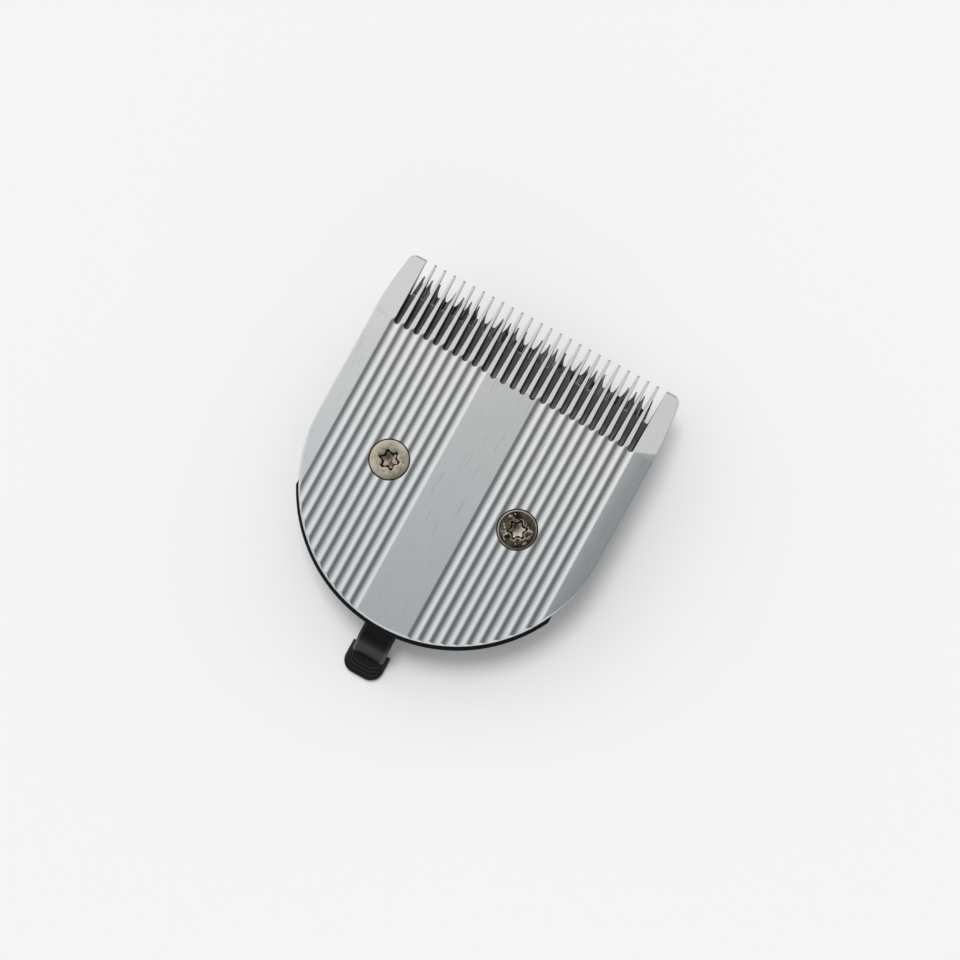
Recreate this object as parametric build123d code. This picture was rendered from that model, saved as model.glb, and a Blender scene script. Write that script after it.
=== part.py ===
from build123d import *
import os

# A detachable blade set for a hair clipper, in millimetres. The teeth point to +Y and the ribbed
# face looks up. Fore-and-aft places are measured from the line through the two screws, heights
# from the plane that the set rests on. At the end the pieces are shifted as one, so that the
# origin lies under the middle of the overall length.

# Comb plate, the fixed blade
plate_width = 45.8
plate_thickness = 2.8
rear_arc_centre = 1.25
lean_length = 9.55
lean_in = 0.8
tip_corner_radius = 1.2
edge_chamfer = 0.36
bevel_length = 10.15
tip_thickness = 0.35
nose_length = 0.2
nose_drop = 0.2

# Slots between the comb's teeth
tooth_pitch = 1.6
corner_tooth_width = 2.9
slot_length = 10.2
slot_root_width = 0.38
slot_root_chamfer = 0.1
slot_knee_reach = 2.2
slot_knee_width = 1.1
slot_mouth_width = 1.24
slot_draft = 5.0
flat_slot_extra = 0.25

# Ribs on the comb's upper face
rib_depth = 0.21
crest_width = 0.6
rib_shift = -0.1
flat_slots = 5
side_fall = 0.3

# Countersunk screws with a six-lobe recess
screw_spacing = 21.0
head_diameter = 5.75
head_land = 0.45
head_edge_width = 0.25
head_edge_drop = 0.08
shank_diameter = 3.0
screw_length = 8.4
screw_point = 0.6
head_sink = 0.06
recess_lobes = 6
recess_diameter = 3.3
recess_flute_diameter = 1.45
recess_waist = 2.35
recess_corner_radius = 0.17
recess_depth = 1.2
left_screw_turn = 38.0
right_screw_turn = 2.0
mouth_clearance = 0.14
head_clearance = 0.04
shank_clearance = 0.1
thread_clearance = 0.02

# Cutter, the moving blade
cutter_width = 40.8
cutter_thickness = 1.2
cutter_length = 13.5
heel_gap = 0.9
tip_setback = 2.15
cutter_tooth_length = 1.8
cutter_pitch = 1.3
cutter_point_width = 0.2
cutter_valley_width = 0.44
cutter_valley_depth = 0.12
end_notch_depth = 3.34
end_notch_width = 0.4
end_shoulder_width = 0.9
end_shoulder_depth = 2.7
front_land = 3.13
relief_depth = 0.15
heel_land = 2.0
under_bevel_length = 4.6
point_thickness = 0.5
running_gap = 0.02

# Stroke of the cutter, either side of the middle, and where it stands at rest
half_stroke = 1.3
rest_offset = -0.2
side_room = 0.3

# Carrier, the yoke that the drive pin works in
flange_width = 29.0
flange_thickness = 1.9
flange_length = 7.2
flange_setback = 0.8
flange_corner_radius = 1.6
web_thickness = 1.4
wing_rear_gap = 0.8
drive_slot_width = 5.0
drive_slot_length = 8.0
drive_slot_centre = 2.4
drive_slot_radius = 1.0
yoke_wall = 1.4
yoke_foot = 2.2
stake_diameter = 2.2
stake_spacing = 7.6
stake_count = 4
stake_recess = 0.1
stake_clearance = 0.02
rib_under_flange_height = 1.2
rib_under_flange_width = 1.2

# Guide rail for the carrier, on top of the base's front wall
rail_width = 0.9
rail_height = 1.1
rail_clearance = 0.1
rail_foot_gap = 0.5

# Pressure spring, one bent wire with two legs
wire_diameter = 1.0
leg_gap = 0.3
spring_rear = -16.6
spring_rear_height = 4.8
leg_tip = 7.4
spring_bend_radius = 1.6
spring_seat_gap = 0.05

# Base, one moulding with the hook
base_height = 9.6
rim_overhang = 0.7
base_width = 41.7
base_shoulder = -9.6
base_front = 11.5
base_corner_radius = 2.0
base_draft = 1.5
wall_thickness = 1.6
deck_thickness = 1.5
boss_diameter = 6.4
boss_foot = 2.4
boss_rib_width = 1.2
boss_rib_height = 3.4
base_shoulder_radius = 0.8
base_foot_chamfer = 0.3
catch_place = -8.0
catch_length = 2.0
catch_wall = 1.2
catch_lip = 0.7
saddle_width = 6.0
saddle_length = 2.4
saddle_grip = 0.7

# Hook behind the base
hook_width = 5.1
hook_thickness = 2.0
hook_top_gap = 2.4
hook_knee_reach = 2.3
hook_foot_reach = 5.2
hook_bend_radius = 2.0
hook_edge_chamfer = 0.4
foot_width = 6.2
foot_length = 4.5
foot_reach = 8.45
foot_end_radius = 2.0
foot_lift = 0.4
ridge_count = 4
ridge_height = 0.62
ridge_step = 0.6
ridge_side_step = 0.15
ridge_edge_chamfer = 0.2

# Heights and places that several pieces share
seat = base_height
plate_top = seat + plate_thickness
tip_top = seat + tip_thickness
cutter_top = seat - running_gap
cutter_foot = cutter_top - cutter_thickness
flange_foot = cutter_foot - flange_thickness
web_top = flange_foot + web_thickness
deck_foot = seat - deck_thickness
head_top = plate_top - head_sink
head_cone_top = head_top - head_land
screw_foot = head_top - screw_length
cutter_heel = base_front + heel_gap
cutter_tip = cutter_heel + cutter_length
plate_tip = cutter_tip + tip_setback
plate_rear = rear_arc_centre - plate_width / 2
flange_rear = cutter_heel + flange_setback
flange_front = flange_rear + flange_length
web_rear = drive_slot_centre - drive_slot_length / 2 - yoke_wall
base_rear = plate_rear - rim_overhang
base_round = base_shoulder - base_rear
base_arc_radius = (base_round**2 + base_width**2 / 4) / (2 * base_round)
screw_places = [(-screw_spacing / 2, 0), (screw_spacing / 2, 0)]
boss_inner = screw_spacing / 2 - boss_diameter / 2
leg_place = boss_inner - leg_gap - wire_diameter / 2
leg_tip_height = flange_foot - spring_seat_gap - wire_diameter / 2
leg_slope = (leg_tip_height - spring_rear_height) / (leg_tip - spring_rear)
waist = boss_inner - half_stroke - side_room
wing = leg_place + wire_diameter / 2 + half_stroke + side_room
wing_rear = boss_diameter / 2 + wing_rear_gap
rail_place = base_front - wall_thickness / 2
rail_foot = flange_foot - rail_foot_gap
slots_each_side = int((plate_width / 2 - corner_tooth_width) / tooth_pitch)
cutter_teeth = round((cutter_width - 2 * end_shoulder_width) / cutter_pitch)
cutter_toothed_width = cutter_teeth * cutter_pitch
hook_knee = plate_rear - hook_knee_reach
foot_end = plate_rear - foot_reach
overall_middle = (plate_tip + foot_end) / 2


def side_prism(points, width):
    """A prism across the blade set whose side outline is a row of (y, z) points."""
    outline = Plane.YZ * make_face(Polyline(*points, close=True))
    return extrude(outline, width / 2, both=True)


def plan_prism(outline, foot, top):
    """A plan outline carried straight up between two heights."""
    return Pos(0, 0, foot) * extrude(outline, top - foot)


def plan_rectangle(width, rear, front):
    """A plan rectangle on the middle line, between two places along it."""
    return Pos(0, (rear + front) / 2) * Rectangle(width, front - rear)


def plate_outline():
    """Round at the rear, straight sides that lean in towards rounded tip corners."""
    side = plate_width / 2
    tip_side = side - lean_in
    lean_start = plate_tip - lean_length
    edges = [
        ThreePointArc((-side, rear_arc_centre), (0, rear_arc_centre - side), (side, rear_arc_centre)),
        Line((side, rear_arc_centre), (side, lean_start)),
        TangentArc((side, lean_start), (tip_side, plate_tip), tangent=(0, 1)),
        Line((tip_side, plate_tip), (-tip_side, plate_tip)),
        TangentArc((-side, lean_start), (-tip_side, plate_tip), tangent=(0, 1)),
        Line((-side, lean_start), (-side, rear_arc_centre)),
    ]
    outline = make_face(edges)
    return fillet(outline.vertices().group_by(Axis.Y)[-1], tip_corner_radius)


def comb_slot(root):
    """Foot outline of a slot between two comb teeth, narrow at its root, wide from the knee on."""
    right = [
        (slot_root_width / 2, root),
        (slot_knee_width / 2, plate_tip - slot_knee_reach),
        (slot_mouth_width / 2, plate_tip),
        (slot_mouth_width / 2, plate_tip + tooth_pitch),
    ]
    left = [(-x, y) for x, y in reversed(right)]
    slot = make_face(Polyline(*right, *left, close=True))
    return chamfer(slot.vertices().group_by(Axis.Y)[0], slot_root_chamfer)


def comb_slots():
    """The row of slots, cut with a tapered wheel. Those ahead of the flat strip run further back."""
    slots = []
    for column in range(-slots_each_side, slots_each_side + 1):
        on_flat = abs(column) <= flat_slots // 2
        length = slot_length + flat_slot_extra if on_flat else slot_length
        slot = extrude(comb_slot(plate_tip - length), plate_thickness, taper=-slot_draft)
        slots.append(Pos(column * tooth_pitch, 0, seat) * slot)
    return slots


def rib_wave(first_groove, grooves):
    """Tangent arcs, crest to crest, through a number of grooves side by side."""
    half_crest = crest_width / 2
    half_groove = (tooth_pitch - crest_width) / 2
    meeting = plate_top - rib_depth * crest_width / tooth_pitch
    floor = plate_top - rib_depth
    start = first_groove - tooth_pitch / 2
    end = start + grooves * tooth_pitch
    arcs = [TangentArc((start, plate_top), (start + half_crest, meeting), tangent=(1, 0))]
    for groove in range(grooves):
        x = first_groove + groove * tooth_pitch
        arcs.append(ThreePointArc((x - half_groove, meeting), (x, floor), (x + half_groove, meeting)))
    for crest in range(1, grooves):
        x = start + crest * tooth_pitch
        arcs.append(ThreePointArc((x - half_crest, meeting), (x, plate_top), (x + half_crest, meeting)))
    arcs.append(TangentArc((end, plate_top), (end - half_crest, meeting), tangent=(-1, 0)))
    return arcs


def above_ribs():
    """What is ground away above the ribs, the flat strip and the falling side margins."""
    grooves = slots_each_side - flat_slots // 2
    half_flat = flat_slots * tooth_pitch / 2
    left_start = rib_shift - half_flat - grooves * tooth_pitch
    right_end = rib_shift + half_flat + grooves * tooth_pitch
    left_groove = left_start + tooth_pitch / 2
    right_groove = rib_shift + half_flat + tooth_pitch / 2
    outside = plate_width / 2
    margin_foot = plate_top - side_fall
    cover = plate_top + plate_thickness
    edges = rib_wave(left_groove, grooves) + rib_wave(right_groove, grooves)
    edges += [
        Line((left_start, plate_top), (-outside, margin_foot)),
        Line((rib_shift - half_flat, plate_top), (rib_shift + half_flat, plate_top)),
        Line((right_end, plate_top), (outside, margin_foot)),
        Polyline((outside, margin_foot), (outside, cover), (-outside, cover), (-outside, margin_foot)),
    ]
    return extrude(Plane.XZ * make_face(edges), 2 * plate_width, both=True)


def comb_plate():
    """Fixed blade: plate, ribs, long bevel in front, slots and two countersunk holes."""
    plate = plan_prism(plate_outline(), seat, plate_top)
    plate = chamfer(plate.faces().sort_by(Axis.Z)[-1].edges(), edge_chamfer)
    bevel_slope = (plate_top - tip_top) / bevel_length
    bevel_start = plate_tip - bevel_length
    nose_start = plate_tip - nose_length
    above_bevel = [
        (bevel_start, plate_top),
        (nose_start, tip_top + nose_length * bevel_slope),
        (plate_tip, tip_top - nose_drop),
        (plate_tip, plate_top + plate_thickness),
        (bevel_start, plate_top + plate_thickness),
    ]
    plate -= above_ribs()
    plate -= side_prism(above_bevel, 2 * plate_width)
    plate -= comb_slots()
    for x, y in screw_places:
        plate -= Pos(x, y) * screw_hole()
    return plate


def turned(outline):
    """A body turned about the upright axis, from (radius, height) points."""
    return revolve(Plane.XZ * make_face(Polyline(*outline, close=True)), Axis.Z)


def screw_hole():
    """The hole for a screw: a mouth clear of the head's edge, a seat for its cone, a clear bore."""
    seat_radius = head_diameter / 2 + head_clearance
    mouth_radius = head_diameter / 2 + mouth_clearance
    bore_radius = shank_diameter / 2 + shank_clearance
    return turned([
        (0, plate_top + plate_thickness),
        (mouth_radius, plate_top + plate_thickness),
        (mouth_radius, head_cone_top),
        (seat_radius, head_cone_top),
        (bore_radius, head_cone_top - (seat_radius - bore_radius)),
        (bore_radius, seat - plate_thickness),
        (0, seat - plate_thickness),
    ])


def screw_blank():
    """A countersunk screw without its recess: head with a bevelled edge, plain shank, blunt point."""
    head_radius = head_diameter / 2
    shank_radius = shank_diameter / 2
    return turned([
        (0, head_top),
        (head_radius - head_edge_width, head_top),
        (head_radius, head_top - head_edge_drop),
        (head_radius, head_cone_top),
        (shank_radius, head_cone_top - (head_radius - shank_radius)),
        (shank_radius, screw_foot + screw_point),
        (shank_radius - screw_point / 2, screw_foot),
        (0, screw_foot),
    ])


def comb_screws():
    """Two screws with a six-lobe recess, each turned as it came to rest."""
    flute = Circle(recess_flute_diameter / 2)
    flute_ring = recess_waist / 2 + recess_flute_diameter / 2
    flutes = [place * flute for place in PolarLocations(flute_ring, recess_lobes)]
    lobes = Circle(recess_diameter / 2) - flutes
    lobes = fillet(lobes.vertices(), recess_corner_radius)
    screw = screw_blank() - plan_prism(lobes, head_top - recess_depth, plate_top)
    turns = (left_screw_turn, right_screw_turn)
    return Part() + [Pos(x, y) * Rot(0, 0, turn) * screw for (x, y), turn in zip(screw_places, turns)]


def cutter_notch():
    """The gap between two cutter teeth: a round valley, and hollow sides that run up to the points."""
    half_mouth = (cutter_pitch - cutter_point_width) / 2
    half_valley = cutter_valley_width / 2
    valley_floor = cutter_tip - cutter_tooth_length
    valley_end = valley_floor + cutter_valley_depth
    return make_face([
        TangentArc((half_mouth, cutter_tip), (half_valley, valley_end), tangent=(0, -1)),
        ThreePointArc((half_valley, valley_end), (0, valley_floor), (-half_valley, valley_end)),
        TangentArc((-half_mouth, cutter_tip), (-half_valley, valley_end), tangent=(0, -1)),
        Line((-half_mouth, cutter_tip), (half_mouth, cutter_tip)),
    ])


def cutter_end_notch():
    """The deeper notch outside the last tooth, down to the end shoulder."""
    last_tip = (cutter_toothed_width - cutter_pitch) / 2
    floor_start = cutter_toothed_width / 2 - end_notch_width / 2
    floor_end = cutter_toothed_width / 2 + end_notch_width / 2
    floor = cutter_tip - end_notch_depth
    return make_face(Polyline(
        (last_tip + cutter_point_width / 2, cutter_tip),
        (floor_start, floor),
        (floor_end, floor),
        (cutter_width / 2, cutter_tip - end_shoulder_depth),
        (cutter_width / 2, cutter_tip),
        close=True,
    ))


def cutter_blade():
    """Moving blade: fine pointed teeth, relieved behind its front land, bevelled underneath."""
    outline = plan_rectangle(cutter_width, cutter_heel, cutter_tip)
    first_notch = cutter_pitch - cutter_toothed_width / 2
    notch = cutter_notch()
    outline -= [Pos(first_notch + gap * cutter_pitch, 0) * notch for gap in range(cutter_teeth - 1)]
    end_notch = cutter_end_notch()
    outline -= [end_notch, mirror(end_notch, Plane.YZ)]
    blade = plan_prism(outline, cutter_foot, cutter_top)
    relief = plan_rectangle(cutter_width, cutter_heel + heel_land, cutter_tip - front_land)
    blade -= plan_prism(relief, cutter_top - relief_depth, cutter_top + relief_depth)
    under_bevel = [
        (cutter_tip - under_bevel_length, cutter_foot),
        (cutter_tip, cutter_top - point_thickness),
        (cutter_tip, cutter_foot),
    ]
    blade -= side_prism(under_bevel, 2 * cutter_width)
    blade -= stakes(stake_diameter / 2 + stake_clearance, cutter_foot, seat)
    return Pos(rest_offset, 0, 0) * blade


def stakes(radius, foot, top):
    """The row of stakes that holds the cutter on its carrier, or the holes for them."""
    row = GridLocations(stake_spacing, 1, stake_count, 1)
    middle = flange_rear + flange_length / 2
    pins = [Pos(0, middle) * place * Circle(radius) for place in row]
    return plan_prism(Sketch() + pins, foot, top)


def carrier_web_outline(room=0):
    """Plan of the carrier behind its flange: a waist between the bosses, then two wings."""
    waist_part = plan_rectangle(2 * (waist + room), web_rear - room, flange_front)
    wing_part = plan_rectangle(2 * (wing + room), wing_rear - room, flange_front)
    return waist_part + wing_part


def cutter_carrier():
    """Moulded yoke under the cutter, with the drive slot and the groove for the guide rail."""
    flange = plan_rectangle(flange_width, flange_rear, flange_front)
    flange = fillet(flange.vertices(), flange_corner_radius)
    carrier = plan_prism(flange, flange_foot, cutter_foot)
    web = carrier_web_outline() - plan_rectangle(flange_width, flange_rear + wall_thickness, flange_front)
    carrier += plan_prism(web, flange_foot, web_top)
    stiffener = plan_rectangle(flange_width - 2 * flange_corner_radius, flange_front - rib_under_flange_width,
                               flange_front)
    carrier += plan_prism(stiffener, flange_foot - rib_under_flange_height, flange_foot)
    slot = RectangleRounded(drive_slot_width, drive_slot_length, drive_slot_radius)
    yoke = Pos(0, drive_slot_centre) * offset(slot, yoke_wall)
    carrier += plan_prism(yoke, yoke_foot, web_top)
    carrier -= plan_prism(Pos(0, drive_slot_centre) * slot, 0, seat)
    groove_half = rail_width / 2 + rail_clearance
    groove = plan_rectangle(4 * wing, rail_place - groove_half, rail_place + groove_half)
    carrier -= plan_prism(groove, 0, rail_foot + rail_height + rail_clearance)
    carrier += stakes(stake_diameter / 2, cutter_foot, cutter_top - relief_depth - stake_recess)
    return Pos(rest_offset, 0, 0) * carrier


def spring_height(place):
    """Height of the straight legs' middle line at a place along them."""
    return spring_rear_height + (place - spring_rear) * leg_slope


def pressure_spring():
    """One wire: a cross piece at the rear and two long legs that press up under the wings."""
    right = [(leg_place, spring_rear, spring_rear_height), (leg_place, leg_tip, leg_tip_height)]
    left = [(-x, y, z) for x, y, z in reversed(right)]
    path = FilletPolyline(*left, *right, radius=spring_bend_radius)
    end = path @ 0
    return sweep(Plane(end, z_dir=path % 0) * Circle(wire_diameter / 2), path)


def base_outline(inset=0):
    """Plan of the base: a straight-sided strip with a round rear end and rounded front corners."""
    width = base_width - 2 * inset
    arc_centre = base_rear + base_arc_radius
    disc = Pos(0, arc_centre) * Circle(base_arc_radius - inset)
    rear = disc & plan_rectangle(width, base_rear, arc_centre)
    outline = rear + plan_rectangle(width, arc_centre, base_front - inset)
    outline = fillet(outline.vertices().group_by(Axis.Y)[0], base_shoulder_radius)
    return fillet(outline.vertices().group_by(Axis.Y)[-1], base_corner_radius)


def spring_catch():
    """A post beside a spring leg, with a lip under the wire."""
    room = spring_seat_gap
    wire_side = leg_place + wire_diameter / 2 + room
    wire_foot = spring_height(catch_place - catch_length / 2) - wire_diameter / 2 - room
    rear = catch_place - catch_length / 2
    front = catch_place + catch_length / 2
    post = Pos(wire_side + catch_wall / 2, (rear + front) / 2) * Rectangle(catch_wall, front - rear)
    reach = wire_diameter + catch_wall
    lip = Pos(wire_side + catch_wall - reach / 2, (rear + front) / 2) * Rectangle(reach, front - rear)
    lip_foot = wire_foot - catch_lip
    return plan_prism(post, lip_foot, deck_foot) + plan_prism(lip, lip_foot, wire_foot)


def spring_saddle():
    """The block under the deck that the spring's cross piece bears up against."""
    block = plan_rectangle(saddle_width, spring_rear - saddle_length / 2, spring_rear + saddle_length / 2)
    saddle = plan_prism(block, spring_rear_height - saddle_grip + wire_diameter / 2, deck_foot)
    wire_room = Cylinder(wire_diameter / 2 + spring_seat_gap, saddle_width, rotation=(0, 90, 0))
    return saddle - Pos(0, spring_rear, spring_rear_height) * wire_room


def on_hook_top(edge):
    """True for an edge along the upper side of the hook's arm."""
    middle = edge @ 0.5
    return middle.Z > seat - hook_top_gap - hook_thickness / 2 or middle.Y < hook_knee


def hook():
    """The rear hook: a bent arm that comes down to a foot with nested grip ridges."""
    arm_height = seat - hook_top_gap - hook_thickness / 2
    foot_height = foot_lift + hook_thickness / 2
    path = FilletPolyline(
        (plate_rear + wall_thickness / 2, arm_height),
        (hook_knee, arm_height),
        (plate_rear - hook_foot_reach, foot_height),
        radius=hook_bend_radius,
    )
    arm = extrude(Plane.YZ * trace(path, hook_thickness), hook_width / 2, both=True)
    arm = chamfer(arm.faces().filter_by(Axis.X).edges().filter_by(on_hook_top), hook_edge_chamfer)
    for ridge in range(ridge_count):
        spread = ridge * ridge_side_step
        end = foot_end + ridge * ridge_step
        plan = plan_rectangle(foot_width - 2 * spread, end, foot_end + foot_length)
        plan = fillet(plan.vertices().group_by(Axis.Y)[0], foot_end_radius)
        foot = foot_lift + ridge * ridge_height
        layer = plan_prism(plan, foot, foot + ridge_height)
        arm += chamfer(layer.faces().sort_by(Axis.Z)[-1].edges(), ridge_edge_chamfer)
    return arm


def screw_boss():
    """A boss under the deck with a rib out to the side wall, about the screw's own axis."""
    boss = plan_prism(Circle(boss_diameter / 2), boss_foot, deck_foot)
    rib_length = (base_width - wall_thickness - screw_spacing) / 2
    rib = Pos(rib_length / 2, 0) * Rectangle(rib_length, boss_rib_width)
    return boss + plan_prism(rib, deck_foot - boss_rib_height, deck_foot)


def blade_base():
    """Open-bottomed holder: skirt, deck with a window, screw bosses, guide rail and rear hook."""
    base = Pos(0, 0, seat) * extrude(base_outline(), -base_height, taper=base_draft)
    base = chamfer(base.faces().sort_by(Axis.Z)[0].edges(), base_foot_chamfer)
    base -= Pos(0, 0, deck_foot) * extrude(base_outline(wall_thickness), -base_height, taper=base_draft)
    boss = Pos(screw_spacing / 2, 0) * screw_boss()
    catch = spring_catch()
    base += [boss, mirror(boss, Plane.YZ), catch, mirror(catch, Plane.YZ), spring_saddle(), hook()]
    window_room = half_stroke + side_room
    base -= plan_prism(carrier_web_outline(window_room), rail_foot, seat)
    rail = plan_rectangle(2 * (wing + window_room), rail_place - rail_width / 2, rail_place + rail_width / 2)
    base += plan_prism(rail, rail_foot, rail_foot + rail_height)
    pilot = plan_prism(Circle(shank_diameter / 2 + thread_clearance), 0, seat)
    base -= [Pos(x, y) * pilot for x, y in screw_places]
    return base


pieces = {
    "comb_plate": comb_plate(),
    "cutter_blade": cutter_blade(),
    "cutter_carrier": cutter_carrier(),
    "pressure_spring": pressure_spring(),
    "blade_base": blade_base(),
    "comb_screws": comb_screws(),
}

os.makedirs("parts", exist_ok=True)
for name, piece in pieces.items():
    export_step(Pos(0, -overall_middle, 0) * piece, f"parts/{name}.step")
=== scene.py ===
import math

import bmesh
import bpy
from mathutils import Matrix, Vector


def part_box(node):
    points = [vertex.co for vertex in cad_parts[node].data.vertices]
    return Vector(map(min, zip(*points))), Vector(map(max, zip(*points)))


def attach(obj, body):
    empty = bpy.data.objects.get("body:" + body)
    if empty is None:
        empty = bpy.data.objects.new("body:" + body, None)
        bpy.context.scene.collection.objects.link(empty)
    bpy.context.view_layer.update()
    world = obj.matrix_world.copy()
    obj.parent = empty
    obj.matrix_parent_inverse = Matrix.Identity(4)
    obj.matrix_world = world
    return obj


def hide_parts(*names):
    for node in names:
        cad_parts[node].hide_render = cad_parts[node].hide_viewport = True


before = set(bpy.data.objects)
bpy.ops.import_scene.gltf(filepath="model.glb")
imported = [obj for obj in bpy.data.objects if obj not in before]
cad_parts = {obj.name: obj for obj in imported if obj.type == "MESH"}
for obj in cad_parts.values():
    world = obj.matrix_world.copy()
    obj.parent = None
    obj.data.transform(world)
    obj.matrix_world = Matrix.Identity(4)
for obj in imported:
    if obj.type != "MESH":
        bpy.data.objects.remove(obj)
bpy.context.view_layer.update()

# Base
# The holder under the comb, with its rear hook, moulded in one piece from black glass-filled
# nylon. Its skirt stands on the clipper's head, and the screws pull the comb down on its deck.

MM = 0.001
base_ease = 0.14 * MM
ease_segments = 2
merge_distance = 0.0005 * MM
flat_angle = math.radians(0.4)
crease_angle = math.radians(28)


def merged_form(node):
    """A copy of a CAD node's form, with its loose triangles joined up into faces."""
    form = bmesh.new()
    form.from_mesh(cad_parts[node].data)
    bmesh.ops.remove_doubles(form, verts=form.verts, dist=merge_distance)
    bmesh.ops.dissolve_limit(form, angle_limit=flat_angle, verts=form.verts, edges=form.edges)
    return form


def eased_piece(form, node, body, ease):
    """Turns a form into a piece with smooth faces and eased edges. It stands for the CAD node."""
    for face in form.faces:
        face.smooth = True
    mesh = bpy.data.meshes.new("eased_" + node)
    form.to_mesh(mesh)
    form.free()
    if "custom_normal" in mesh.attributes:
        mesh.attributes.remove(mesh.attributes["custom_normal"])
    mesh.set_sharp_from_angle(angle=crease_angle)
    piece = bpy.data.objects.new("eased_" + node, mesh)
    bpy.context.scene.collection.objects.link(piece)
    bevel = piece.modifiers.new("eased_edges", "BEVEL")
    bevel.width = ease
    bevel.segments = ease_segments
    bevel.limit_method = "ANGLE"
    bevel.angle_limit = crease_angle
    bevel.harden_normals = True
    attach(piece, body)
    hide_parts(node)
    return piece


def hue(code):
    """A hex sRGB colour as linear RGBA."""
    parts = [int(code[i:i + 2], 16) / 255 for i in (1, 3, 5)]
    return [p / 12.92 if p <= 0.04045 else ((p + 0.055) / 1.055) ** 2.4 for p in parts] + [1.0]


def add(tree, kind, sockets, **settings):
    """Adds a node with its settings. A socket takes a value, or another node's output as a link."""
    made = tree.nodes.new(kind)
    for name, value in settings.items():
        setattr(made, name, value)
    for name, value in sockets.items():
        if isinstance(value, bpy.types.NodeSocket):
            tree.links.new(value, made.inputs[name])
        else:
            made.inputs[name].default_value = value
    return made


def new_material(name):
    """An empty material whose coordinates are the object's own, in millimetres."""
    material = bpy.data.materials.new(name)
    material.use_nodes = True
    tree = material.node_tree
    tree.nodes.clear()
    place = add(tree, "ShaderNodeTexCoord", {})
    in_mm = add(tree, "ShaderNodeVectorMath", {0: place.outputs["Object"], "Scale": 1 / MM},
                operation="SCALE")
    return material, tree, in_mm.outputs[0]


def finish_material(tree, shader):
    """Makes a shader the material's surface."""
    add(tree, "ShaderNodeOutputMaterial", {"Surface": shader.outputs[0]})


def dress(piece, material):
    """Gives a piece one material all over."""
    piece.data.materials.clear()
    piece.data.materials.append(material)


# Moulded nylon is deep black with a satin skin: broad soft reflections, broken a little by the
# fine grain of the tool. The grain is about 0.15 mm, drawn as it is.
nylon, tree, place = new_material("moulded_black_nylon")
grain = add(tree, "ShaderNodeTexNoise", {"Vector": place, "Scale": 1 / 0.15, "Detail": 3.0})
flow = add(tree, "ShaderNodeTexNoise", {"Vector": place, "Scale": 1 / 4.0, "Detail": 2.0})
gloss = add(tree, "ShaderNodeMapRange", {
    "Value": flow.outputs["Fac"], "From Min": 0.3, "From Max": 0.7, "To Min": 0.26, "To Max": 0.36})
shade = add(tree, "ShaderNodeMix", {
    "Factor": flow.outputs["Fac"], "A": hue("#09090a"), "B": hue("#0f0f10")}, data_type="RGBA")
skin = add(tree, "ShaderNodeBump", {
    "Height": grain.outputs["Fac"], "Strength": 0.12, "Distance": 0.02 * MM})
finish_material(tree, add(tree, "ShaderNodeBsdfPrincipled", {
    "Base Color": shade.outputs["Result"], "Roughness": gloss.outputs["Result"],
    "IOR": 1.53, "Specular IOR Level": 0.2, "Normal": skin.outputs["Normal"]}))

base = eased_piece(merged_form("blade_base"), "blade_base", "holder", base_ease)
dress(base, nylon)

# Pressure spring
# One bent length of hard-drawn spring wire under the deck. Its cross piece hangs on the base's
# saddle and its two legs press the carrier, and so the cutter, up against the comb.

# Drawn wire is bright grey steel with fine lines along it from the die, a little oiled.
wire, tree, place = new_material("drawn_spring_wire")
die_lines = add(tree, "ShaderNodeMapping", {"Vector": place, "Scale": (1 / 0.12, 1 / 9.0, 1 / 0.12)})
lines = add(tree, "ShaderNodeTexNoise", {"Vector": die_lines.outputs[0], "Scale": 1.0, "Detail": 3.0})
gloss = add(tree, "ShaderNodeMapRange", {
    "Value": lines.outputs["Fac"], "From Min": 0.3, "From Max": 0.7, "To Min": 0.2, "To Max": 0.36})
shade = add(tree, "ShaderNodeMix", {
    "Factor": lines.outputs["Fac"], "A": hue("#8d8f90"), "B": hue("#c3c4c4")}, data_type="RGBA")
finish_material(tree, add(tree, "ShaderNodeBsdfPrincipled", {
    "Base Color": shade.outputs["Result"], "Metallic": 1.0, "Roughness": gloss.outputs["Result"]}))
dress(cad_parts["pressure_spring"], wire)

# Carrier
# The yoke that the clipper's drive pin works in, moulded from dark grey acetal. Four stakes hold
# the cutter on it, and a groove in its web runs on the base's rail.

carrier_ease = 0.12 * MM

# Acetal is matt and slightly waxy, with a faint cloudiness from the mould.
acetal, tree, place = new_material("moulded_grey_acetal")
cloud = add(tree, "ShaderNodeTexNoise", {"Vector": place, "Scale": 1 / 2.5, "Detail": 3.0})
grain = add(tree, "ShaderNodeTexNoise", {"Vector": place, "Scale": 1 / 0.2, "Detail": 3.0})
shade = add(tree, "ShaderNodeMix", {
    "Factor": cloud.outputs["Fac"], "A": hue("#3a3b3d"), "B": hue("#4a4b4d")}, data_type="RGBA")
gloss = add(tree, "ShaderNodeMapRange", {
    "Value": cloud.outputs["Fac"], "From Min": 0.3, "From Max": 0.7, "To Min": 0.42, "To Max": 0.55})
skin = add(tree, "ShaderNodeBump", {
    "Height": grain.outputs["Fac"], "Strength": 0.15, "Distance": 0.02 * MM})
finish_material(tree, add(tree, "ShaderNodeBsdfPrincipled", {
    "Base Color": shade.outputs["Result"], "Roughness": gloss.outputs["Result"],
    "IOR": 1.48, "Normal": skin.outputs["Normal"]}))

carrier = eased_piece(merged_form("cutter_carrier"), "cutter_carrier", "cutter",
                      carrier_ease)
dress(carrier, acetal)

# Cutter
# The moving blade, a thin hardened steel strip with fine pointed teeth, blackened. Only its
# teeth and front land are ground again, lengthwise, up to the step where the relief begins.

step_place = 23.795
step_line_width = 0.05
point_place = 26.925
root_light_start = 19.0
root_light_end = 20.8
streak_width = 0.11
streak_length = 2.2
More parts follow.
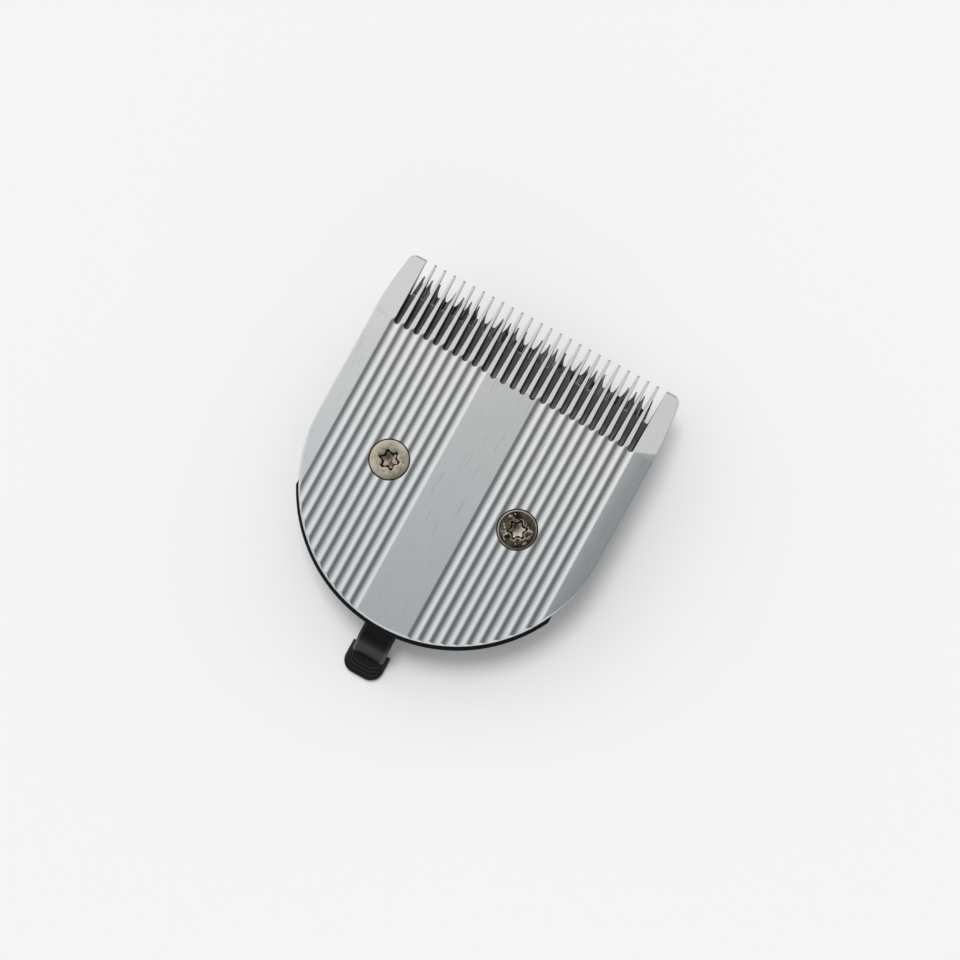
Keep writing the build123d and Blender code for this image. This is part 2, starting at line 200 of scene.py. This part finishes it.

# Blackened steel takes little light. On the land the grinding has broken the black into fine
# streaks along the teeth, the points are painted lighter grey, partly wear and partly painted light
# where they catch it, and the step's edge is bright in places. Under the roots of the slots it is
# painted lighter, painted light that lifts the comb's shade there.
blackened, tree, place = new_material("blackened_ground_steel")
where = add(tree, "ShaderNodeSeparateXYZ", {0: place})
along = add(tree, "ShaderNodeMapping", {"Vector": place, "Scale": (1 / streak_width, 1 / streak_length, 1.0)})
streaks = add(tree, "ShaderNodeTexNoise", {"Vector": along.outputs[0], "Scale": 1.0, "Detail": 4.0})
broken = add(tree, "ShaderNodeTexNoise", {"Vector": place, "Scale": 1 / 0.8, "Detail": 2.0})
ragged = add(tree, "ShaderNodeMath", {0: streaks.outputs["Fac"], 1: 0.5, 2: where.outputs["Y"]},
             operation="MULTIPLY_ADD")
on_land = add(tree, "ShaderNodeMapRange", {
    "Value": ragged.outputs[0], "From Min": step_place + 0.1, "From Max": step_place + 0.4})
bright_streak = add(tree, "ShaderNodeMapRange", {
    "Value": streaks.outputs["Fac"], "From Min": 0.44, "From Max": 0.62})
# Painted light: the points grow lighter grey towards their ends, partly wear and partly the light they catch.
worn_and_lit_points = add(tree, "ShaderNodeMapRange", {
    "Value": ragged.outputs[0], "From Min": point_place - 1.3, "From Max": point_place + 0.6, "To Max": 0.9})
bared_and_lit = add(tree, "ShaderNodeMath", {0: bright_streak.outputs["Result"], 1: worn_and_lit_points.outputs["Result"]},
            operation="MAXIMUM")
relief = add(tree, "ShaderNodeMix", {
    "Factor": streaks.outputs["Fac"], "A": hue("#515254"), "B": hue("#727376")}, data_type="RGBA")
# Painted light: lighter under the roots of the slots, lifting the shade that the comb casts there.
painted_root_light = add(tree, "ShaderNodeMapRange", {
    "Value": where.outputs["Y"], "From Min": root_light_start, "From Max": root_light_end, "To Min": 0.55, "To Max": 0.0})
heel = add(tree, "ShaderNodeMix", {
    "Factor": painted_root_light.outputs["Result"], "A": relief.outputs["Result"], "B": hue("#b0b1b2")}, data_type="RGBA")
land = add(tree, "ShaderNodeMix", {
    "Factor": bared_and_lit.outputs[0], "A": hue("#1b1b1a"), "B": hue("#9b9c9b")}, data_type="RGBA")
black = add(tree, "ShaderNodeMix", {
    "Factor": on_land.outputs["Result"], "A": heel.outputs["Result"], "B": land.outputs["Result"]},
    data_type="RGBA")
from_step = add(tree, "ShaderNodeMath", {0: where.outputs["Y"], 1: step_place}, operation="SUBTRACT")
step_away = add(tree, "ShaderNodeMath", {0: from_step.outputs[0]}, operation="ABSOLUTE")
step_line = add(tree, "ShaderNodeMapRange", {
    "Value": step_away.outputs[0], "From Min": step_line_width, "From Max": 2 * step_line_width,
    "To Min": 1.0, "To Max": 0.0})
patches = add(tree, "ShaderNodeMapRange", {
    "Value": broken.outputs["Fac"], "From Min": 0.48, "From Max": 0.58})
edge = add(tree, "ShaderNodeMath", {0: step_line.outputs["Result"], 1: patches.outputs["Result"]},
           operation="MULTIPLY")
shade = add(tree, "ShaderNodeMix", {
    "Factor": edge.outputs[0], "A": black.outputs["Result"], "B": hue("#b4b5b6")}, data_type="RGBA")
gloss = add(tree, "ShaderNodeMapRange", {
    "Value": streaks.outputs["Fac"], "From Min": 0.3, "From Max": 0.7, "To Min": 0.25, "To Max": 0.42})
finish_material(tree, add(tree, "ShaderNodeBsdfPrincipled", {
    "Base Color": shade.outputs["Result"], "Metallic": 1.0, "Roughness": gloss.outputs["Result"]}))
dress(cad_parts["cutter_blade"], blackened)

# Comb
# The fixed blade, hardened stainless steel. Its ribs, flat strip and margins are ground along
# the teeth, and the long bevel that thins the teeth is ground last. It covers all the rest.

bevel_place = 18.925
rear_place = -20.0
right_shade_start = 19.9
right_shade_end = 21.6
side_start = 19.6
side_end = 20.6
edge_round = 0.07 * MM
side_round = 0.32 * MM
screw_x = 10.5
screw_y = 1.025
mouth_radius = 3.015
line_spacing = 0.14
line_length = 16.0
scuff_width = 0.12
scuff_length = 5.0
scuff_turn = math.radians(38)


def from_screw_axis(tree, where):
    """The distance from the nearer screw's axis, in millimetres."""
    aside = add(tree, "ShaderNodeMath", {0: where.outputs["X"]}, operation="ABSOLUTE")
    beside = add(tree, "ShaderNodeMath", {0: aside.outputs[0], 1: screw_x}, operation="SUBTRACT")
    ahead = add(tree, "ShaderNodeMath", {0: where.outputs["Y"], 1: screw_y}, operation="SUBTRACT")
    spoke = add(tree, "ShaderNodeCombineXYZ", {"X": beside.outputs[0], "Y": ahead.outputs[0]})
    return add(tree, "ShaderNodeVectorMath", {0: spoke.outputs[0]}, operation="LENGTH").outputs["Value"]


# Ground steel is bright and neutral, drawn out in fine lines along the teeth, with soft clouds
# from wiping. The real lines are a few hundredths of a millimetre apart, too fine to show, so they
# are drawn at 0.14 mm. Towards the rear, and on the right margin, it is painted duller and bluer as
# painted shade. The sides of the slots and the teeth's noses are painted dark as painted shade, and
# old grime fills the mouths of the screw holes. The edges are tumbled, more at the sides of the
# plate, so each has a fine light or dark line.
ground, tree, place = new_material("ground_stainless_steel")
where = add(tree, "ShaderNodeSeparateXYZ", {0: place})
along = add(tree, "ShaderNodeMapping", {
    "Vector": place, "Scale": (1 / line_spacing, 1 / line_length, 1 / line_length)})
lines = add(tree, "ShaderNodeTexNoise", {"Vector": along.outputs[0], "Scale": 1.0, "Detail": 4.0})
clouds = add(tree, "ShaderNodeTexNoise", {"Vector": place, "Scale": 1 / 5.0, "Detail": 2.0})
across = add(tree, "ShaderNodeMapping", {
    "Vector": place, "Rotation": (0, 0, scuff_turn), "Scale": (1 / scuff_width, 1 / scuff_length, 1.0)})
scuffs = add(tree, "ShaderNodeTexNoise", {"Vector": across.outputs[0], "Scale": 1.0, "Detail": 1.0})
scratches = add(tree, "ShaderNodeMapRange", {
    "Value": scuffs.outputs["Fac"], "From Min": 0.7, "From Max": 0.76})
lined = add(tree, "ShaderNodeMix", {
    "Factor": lines.outputs["Fac"], "A": hue("#d7d8d8"), "B": hue("#dedede")}, data_type="RGBA")
cloudy = add(tree, "ShaderNodeMix", {
    "Factor": clouds.outputs["Fac"], "A": lined.outputs["Result"], "B": hue("#e6e6e6")}, data_type="RGBA")
# Painted shade: darker and bluer towards the rear.
rear_shade = add(tree, "ShaderNodeMapRange", {
    "Value": where.outputs["Y"], "From Min": bevel_place, "From Max": rear_place})
shaded_rear = add(tree, "ShaderNodeMix", {
    "Factor": rear_shade.outputs["Result"], "A": cloudy.outputs["Result"], "B": hue("#d1d5d9")}, data_type="RGBA")
# Painted shade: darker and bluer on the right margin only.
right_side_shade = add(tree, "ShaderNodeMapRange", {
    "Value": where.outputs["X"], "From Min": right_shade_start, "From Max": right_shade_end, "To Max": 0.8})
shaded_right = add(tree, "ShaderNodeMix", {
    "Factor": right_side_shade.outputs["Result"], "A": shaded_rear.outputs["Result"], "B": hue("#bfc7cc")}, data_type="RGBA")
scratched = add(tree, "ShaderNodeMix", {
    "Factor": scratches.outputs["Result"], "A": shaded_right.outputs["Result"], "B": hue("#b3b6b8")},
    data_type="RGBA")
on_bevel = add(tree, "ShaderNodeMapRange", {
    "Value": where.outputs["Y"], "From Min": bevel_place - 0.05, "From Max": bevel_place + 0.05})
topped = add(tree, "ShaderNodeMix", {
    "Factor": on_bevel.outputs["Result"], "A": scratched.outputs["Result"], "B": hue("#dcdddd")},
    data_type="RGBA")
surface = add(tree, "ShaderNodeNewGeometry", {})
facing = add(tree, "ShaderNodeSeparateXYZ", {0: surface.outputs["Normal"]})
sideways = add(tree, "ShaderNodeMath", {0: facing.outputs["X"]}, operation="ABSOLUTE")
# Painted shade: faces turned sideways (slot walls) and forward (noses) are painted dark.
shaded_wall = add(tree, "ShaderNodeMapRange", {"Value": sideways.outputs[0], "From Min": 0.8, "From Max": 0.95})
shaded_nose = add(tree, "ShaderNodeMapRange", {
    "Value": facing.outputs["Y"], "From Min": 0.5, "From Max": 0.7, "To Max": 0.7})
painted_side_shade = add(tree, "ShaderNodeMath", {0: shaded_wall.outputs["Result"], 1: shaded_nose.outputs["Result"]},
             operation="MAXIMUM")
shaded_sides = add(tree, "ShaderNodeMix", {
    "Factor": painted_side_shade.outputs[0], "A": topped.outputs["Result"], "B": hue("#6c6d6f")}, data_type="RGBA")
grime = add(tree, "ShaderNodeMapRange", {
    "Value": from_screw_axis(tree, where), "From Min": mouth_radius - 0.02, "From Max": mouth_radius + 0.06,
    "To Min": 1.0, "To Max": 0.0})
shade = add(tree, "ShaderNodeMix", {
    "Factor": grime.outputs["Result"], "A": shaded_sides.outputs["Result"], "B": hue("#2a2724")}, data_type="RGBA")
gloss = add(tree, "ShaderNodeMapRange", {
    "Value": lines.outputs["Fac"], "From Min": 0.3, "From Max": 0.7, "To Min": 0.26, "To Max": 0.32})
aside = add(tree, "ShaderNodeMath", {0: where.outputs["X"]}, operation="ABSOLUTE")
rounding = add(tree, "ShaderNodeMapRange", {
    "Value": aside.outputs[0], "From Min": side_start, "From Max": side_end,
    "To Min": edge_round, "To Max": side_round})
tumbled = add(tree, "ShaderNodeBevel", {"Radius": rounding.outputs["Result"]}, samples=4)
skin = add(tree, "ShaderNodeBump", {
    "Height": lines.outputs["Fac"], "Strength": 0.1, "Distance": 0.004 * MM,
    "Normal": tumbled.outputs["Normal"]})
finish_material(tree, add(tree, "ShaderNodeBsdfPrincipled", {
    "Base Color": shade.outputs["Result"], "Metallic": 1.0, "Roughness": gloss.outputs["Result"],
    "Normal": skin.outputs["Normal"]}))
dress(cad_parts["comb_plate"], ground)

# Screws
# Two countersunk steel screws, nickel plated, that hold the comb on the base's bosses. Their
# six-lobe recesses are cold formed: a rolled-in rim, tapered walls and a coned floor with a pip.

screw_ease = 0.05 * MM
floor_below_head = 1.2 * MM
floor_tolerance = 0.05 * MM
recess_reach = 1.8 * MM
rim_share = 0.94
floor_share = 0.73
collar_width = 0.2 * MM
cone_radius = 1.2 * MM
cone_slope = math.tan(math.radians(24))
pip_radius = 0.14 * MM
pip_height = 0.1 * MM

form = merged_form("comb_screws")
head_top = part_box("comb_screws")[1].z
floor_height = head_top - floor_below_head
floors = [f for f in form.faces
          if f.normal.z > 0.99 and abs(f.calc_center_median().z - floor_height) < floor_tolerance]
for floor in floors:
    axis = Vector((math.copysign(screw_x, floor.calc_center_median().x) * MM, screw_y * MM, floor_height))
    rim = [v for v in form.verts
           if v.co.z > head_top - merge_distance and (v.co - axis).to_2d().length < recess_reach]
    on_axis = Matrix.Translation(-axis)
    bmesh.ops.scale(form, vec=(rim_share, rim_share, 1), space=on_axis, verts=rim)
    bmesh.ops.scale(form, vec=(floor_share, floor_share, 1), space=on_axis, verts=floor.verts)
    for corner in floor.verts:
        corner.co.z -= (cone_radius - (corner.co - axis).to_2d().length) * cone_slope
    apex = bmesh.ops.poke(form, faces=[floor], offset=0.0, center_mode="MEAN")["verts"][0]
    apex.co = axis - Vector((0, 0, cone_radius * cone_slope))
    pip = bmesh.ops.bevel(form, geom=[apex], offset=pip_radius, offset_type="OFFSET", affect="VERTICES",
                          segments=1, profile=0.5, material=-1)
    tip = bmesh.ops.poke(form, faces=pip["faces"], offset=0.0, center_mode="MEAN")["verts"]
    bmesh.ops.translate(form, vec=(0, 0, pip_height), verts=tip)
    collar = [e for e in form.edges if e.verts[0] in rim and e.verts[1] in rim]
    bmesh.ops.bevel(form, geom=collar, offset=collar_width, offset_type="OFFSET", affect="EDGES",
                    segments=3, profile=0.5, material=-1)
screws = eased_piece(form, "comb_screws", "holder", screw_ease)

recess_inner = 1.75
recess_outer = 1.85
smudge_glint_inner = 2.25
smudge_glint_outer = 2.45
ring_inner = 2.67
ring_outer = 2.7
floor_low = 11.15
floor_high = 11.3

# Nickel plate is warm and satin. The right screw has tarnished: brown to black, with bright patches
# round its recess that are painted glints, and a bright worn ring at the edge of its head. The recess
# walls are painted dark as painted shade, and deep in the recess dirt and painted shade darken it in spots.
plated, tree, place = new_material("tarnished_nickel_plate")
where = add(tree, "ShaderNodeSeparateXYZ", {0: place})
radius = from_screw_axis(tree, where)
mottle = add(tree, "ShaderNodeTexNoise", {"Vector": place, "Scale": 1 / 0.7, "Detail": 4.0})
haze = add(tree, "ShaderNodeTexNoise", {"Vector": place, "Scale": 1 / 1.8, "Detail": 3.0})
hazy = add(tree, "ShaderNodeMapRange", {"Value": haze.outputs["Fac"], "From Min": 0.35, "From Max": 0.65})
spots = add(tree, "ShaderNodeMapRange", {"Value": mottle.outputs["Fac"], "From Min": 0.55, "From Max": 0.62})
near_recess = add(tree, "ShaderNodeMapRange", {
    "Value": radius, "From Min": smudge_glint_inner, "From Max": smudge_glint_outer, "To Min": 1.0, "To Max": 0.0})
# Bright marks round the recess: on the right screw painted glints, on the left real smudges.
smudges_and_glints = add(tree, "ShaderNodeMath", {0: spots.outputs["Result"], 1: near_recess.outputs["Result"]},
            operation="MULTIPLY")
ring = add(tree, "ShaderNodeMapRange", {
    "Value": radius, "From Min": ring_inner, "From Max": ring_outer, "To Max": 0.7})
surface = add(tree, "ShaderNodeNewGeometry", {})
facing = add(tree, "ShaderNodeSeparateXYZ", {0: surface.outputs["Normal"]})
inside = add(tree, "ShaderNodeMapRange", {
    "Value": radius, "From Min": recess_inner, "From Max": recess_outer, "To Min": 1.0, "To Max": 0.0})
rolled = add(tree, "ShaderNodeMapRange", {
    "Value": facing.outputs["Z"], "From Min": 0.9, "From Max": 0.98, "To Min": 0.85, "To Max": 0.0})
collar_bare = add(tree, "ShaderNodeMath", {0: rolled.outputs["Result"], 1: inside.outputs["Result"]},
                  operation="MULTIPLY")
worn_round = add(tree, "ShaderNodeMath", {0: collar_bare.outputs[0], 1: ring.outputs["Result"]},
                 operation="MAXIMUM")
bare_and_glints = add(tree, "ShaderNodeMath", {0: smudges_and_glints.outputs[0], 1: worn_round.outputs[0]}, operation="MAXIMUM")
nickel = add(tree, "ShaderNodeMix", {
    "Factor": hazy.outputs["Result"], "A": hue("#b3af97"), "B": hue("#d8cbbb")}, data_type="RGBA")
smudge = add(tree, "ShaderNodeMath", {0: smudges_and_glints.outputs[0], 1: 0.45}, operation="MULTIPLY")
fresh = add(tree, "ShaderNodeMix", {
    "Factor": smudge.outputs[0], "A": nickel.outputs["Result"], "B": hue("#6f6957")}, data_type="RGBA")
brown = add(tree, "ShaderNodeMix", {
    "Factor": hazy.outputs["Result"], "A": hue("#2d2820"), "B": hue("#6d6353")}, data_type="RGBA")
stained = add(tree, "ShaderNodeMix", {
    "Factor": bare_and_glints.outputs[0], "A": brown.outputs["Result"], "B": hue("#cdc5b9")}, data_type="RGBA")
on_right = add(tree, "ShaderNodeMapRange", {"Value": where.outputs["X"], "From Min": -1.0, "From Max": 1.0})
plate = add(tree, "ShaderNodeMix", {
    "Factor": on_right.outputs["Result"], "A": fresh.outputs["Result"], "B": stained.outputs["Result"]},
    data_type="RGBA")
# Painted shade: the recess walls are painted dark.
shaded_wall = add(tree, "ShaderNodeMapRange", {
    "Value": facing.outputs["Z"], "From Min": 0.35, "From Max": 0.75, "To Min": 1.0, "To Max": 0.0})
recess_shade = add(tree, "ShaderNodeMath", {0: shaded_wall.outputs["Result"], 1: inside.outputs["Result"]},
           operation="MULTIPLY")
# Darker spots deep in the recess: dirt and painted shade.
depth = add(tree, "ShaderNodeMapRange", {
    "Value": where.outputs["Z"], "From Min": floor_low, "From Max": floor_high, "To Min": 1.0, "To Max": 0.0})
dirt_and_shade_spots = add(tree, "ShaderNodeMix", {
    "Factor": spots.outputs["Result"], "A": hue("#dccbbd"), "B": hue("#75634f")}, data_type="RGBA")
deep_dirt_and_shade = add(tree, "ShaderNodeMix", {
    "Factor": depth.outputs["Result"], "A": plate.outputs["Result"], "B": dirt_and_shade_spots.outputs["Result"]},
    data_type="RGBA")
shade = add(tree, "ShaderNodeMix", {
    "Factor": recess_shade.outputs[0], "A": deep_dirt_and_shade.outputs["Result"], "B": hue("#3a3028")}, data_type="RGBA")
gloss = add(tree, "ShaderNodeMapRange", {
    "Value": mottle.outputs["Fac"], "From Min": 0.3, "From Max": 0.7, "To Min": 0.36, "To Max": 0.24})
dents = add(tree, "ShaderNodeMath", {0: mottle.outputs["Fac"], 1: on_right.outputs["Result"]},
            operation="MULTIPLY")
skin = add(tree, "ShaderNodeBump", {"Height": dents.outputs[0], "Strength": 0.5, "Distance": 0.06 * MM})
finish_material(tree, add(tree, "ShaderNodeBsdfPrincipled", {
    "Base Color": shade.outputs["Result"], "Metallic": 1.0, "Roughness": gloss.outputs["Result"],
    "Normal": skin.outputs["Normal"]}))
dress(screws, plated)

# Stage
# A plain pale table under a studio tent that is brighter on the left, with three panels low down
# all round, and one softbox up on the left that gives the soft shadow. The camera looks almost
# straight down.

table_side = 6.0
table_drop = 0.05 * MM
table_form = bmesh.new()
bmesh.ops.create_grid(table_form, x_segments=1, y_segments=1, size=table_side / 2)
bmesh.ops.translate(table_form, verts=table_form.verts, vec=(0, 0, -table_drop))
table_mesh = bpy.data.meshes.new("table")
table_form.to_mesh(table_mesh)
table_form.free()
table = bpy.data.objects.new("table", table_mesh)
bpy.context.scene.collection.objects.link(table)

# Matt white card, the same all over. It is lit through a little from below as well, as on a light
# table, so that the object's shadow stays soft.
card, tree, place = new_material("matt_white_card")
matt = add(tree, "ShaderNodeBsdfPrincipled", {
    "Base Color": hue("#f3f3f3"), "Roughness": 0.9, "Specular IOR Level": 0.0})
lit = add(tree, "ShaderNodeEmission", {"Color": hue("#f6f6f6"), "Strength": 1.0})
ray = add(tree, "ShaderNodeLightPath", {})
seen = add(tree, "ShaderNodeMath", {0: ray.outputs["Is Camera Ray"], 1: ray.outputs["Is Glossy Ray"]},
           operation="MAXIMUM")
seen_all = add(tree, "ShaderNodeMath", {0: seen.outputs[0], 1: ray.outputs["Is Transmission Ray"]},
               operation="MAXIMUM")
share = add(tree, "ShaderNodeMath", {0: seen_all.outputs[0], 1: 0.1}, operation="MULTIPLY")
finish_material(tree, add(tree, "ShaderNodeMixShader", {
    0: share.outputs[0], 1: matt.outputs[0], 2: lit.outputs[0]}))
dress(table, card)

# The tent's light runs from dark on the right to bright on the left, dimmed a little where the
# camera's opening is. Low down, panels and gaps take turns, and a pale band lies along the horizon.
bright_side = Vector((-0.83, 0.558, 0.0))
opening_side = Vector((0.02, -0.12, 0.99)).normalized()
opening_outer = math.radians(15)
opening_inner = math.radians(3)
opening_level = 0.78
tent_levels = ((-1.0, 0.17), (-0.6, 0.16), (-0.3, 0.27), (-0.12, 0.46), (0.0, 0.8), (0.2, 0.71), (0.6, 1.1),
               (1.0, 1.15))
shade_tint = Vector((0.97, 1.0, 1.02))
bright_tint = Vector((1.0, 1.0, 0.985))
panel_count = 3.0
gap_level = 0.22
panel_fade = (0.55, 0.35)
horizon_fade = (0.09, 0.03)

tent = bpy.data.worlds.new("studio_tent")
tent.use_nodes = True
tree = tent.node_tree
tree.nodes.clear()
way = add(tree, "ShaderNodeTexCoord", {})
leftness = add(tree, "ShaderNodeVectorMath", {0: way.outputs["Generated"], 1: bright_side},
               operation="DOT_PRODUCT")
ramp_place = add(tree, "ShaderNodeMapRange", {
    "Value": leftness.outputs["Value"], "From Min": -1.0, "From Max": 1.0})
ramp = add(tree, "ShaderNodeValToRGB", {"Fac": ramp_place.outputs["Result"]})
stops = ramp.color_ramp.elements
while len(stops) < len(tent_levels):
    stops.new(0.5)
for stop, (left, level) in zip(stops, tent_levels):
    on_ramp = (left + 1) / 2
    stop.position = on_ramp
    stop.color = (*(level * shade_tint.lerp(bright_tint, on_ramp)), 1)
towards_opening = add(tree, "ShaderNodeVectorMath", {0: way.outputs["Generated"], 1: opening_side},
                      operation="DOT_PRODUCT")
opening = add(tree, "ShaderNodeMapRange", {
    "Value": towards_opening.outputs["Value"], "From Min": math.cos(opening_outer),
    "From Max": math.cos(opening_inner), "To Min": 1.0, "To Max": opening_level},
    interpolation_type="SMOOTHSTEP")
heading = add(tree, "ShaderNodeSeparateXYZ", {0: way.outputs["Generated"]})
bearing = add(tree, "ShaderNodeMath", {0: heading.outputs["Y"], 1: heading.outputs["X"]},
              operation="ARCTAN2")
panel_turn = add(tree, "ShaderNodeMath", {0: bearing.outputs[0], 1: panel_count}, operation="MULTIPLY")
panel_wave = add(tree, "ShaderNodeMath", {0: panel_turn.outputs[0]}, operation="COSINE")
panels = add(tree, "ShaderNodeMapRange", {
    "Value": panel_wave.outputs[0], "From Min": -1.0, "From Max": 1.0, "To Min": 1.0, "To Max": gap_level})
low_down = add(tree, "ShaderNodeMapRange", {
    "Value": heading.outputs["Z"], "From Min": panel_fade[0], "From Max": panel_fade[1]})
at_horizon = add(tree, "ShaderNodeMapRange", {
    "Value": heading.outputs["Z"], "From Min": horizon_fade[0], "From Max": horizon_fade[1]})
lit_round = add(tree, "ShaderNodeMix", {
    "Factor": low_down.outputs["Result"], "A": ramp.outputs["Color"], "B": panels.outputs["Result"]},
    data_type="RGBA")
tented = add(tree, "ShaderNodeMix", {
    "Factor": at_horizon.outputs["Result"], "A": lit_round.outputs["Result"], "B": hue("#f6f6f6")},
    data_type="RGBA")
glow = add(tree, "ShaderNodeBackground", {
    "Color": tented.outputs["Result"], "Strength": opening.outputs["Result"]})
add(tree, "ShaderNodeOutputWorld", {"Surface": glow.outputs[0]})
bpy.context.scene.world = tent

softbox_height = math.radians(72)
softbox_side = Vector((-0.6, 0.8, 0.0))
softbox_way = softbox_side * math.cos(softbox_height) + Vector((0, 0, math.sin(softbox_height)))
softbox_lamp = bpy.data.lights.new("softbox", "SUN")
softbox_lamp.angle = math.radians(18)
softbox_lamp.energy = 1.38
softbox = bpy.data.objects.new("softbox", softbox_lamp)
softbox.rotation_euler = softbox_way.to_track_quat("Z", "Y").to_euler()
softbox.visible_glossy = False
bpy.context.scene.collection.objects.link(softbox)

camera_place = Vector((14.827, -4.314, 351.933)) * MM
look = Vector((-0.03664, 0.0266, -0.99897)).normalized()
turn = math.radians(28.8)
side = look.cross(Vector((-math.sin(turn), math.cos(turn), 0))).normalized()
camera_data = bpy.data.cameras.new("camera")
camera_data.sensor_width = 36.0
camera_data.lens = 88.71
camera_data.clip_start = 0.01
camera = bpy.data.objects.new("camera", camera_data)
camera.matrix_world = Matrix.Translation(camera_place) @ Matrix(
    (side, side.cross(look), -look)).transposed().to_4x4()
bpy.context.scene.collection.objects.link(camera)
bpy.context.scene.camera = camera
bpy.context.scene.view_settings.view_transform = "Standard"
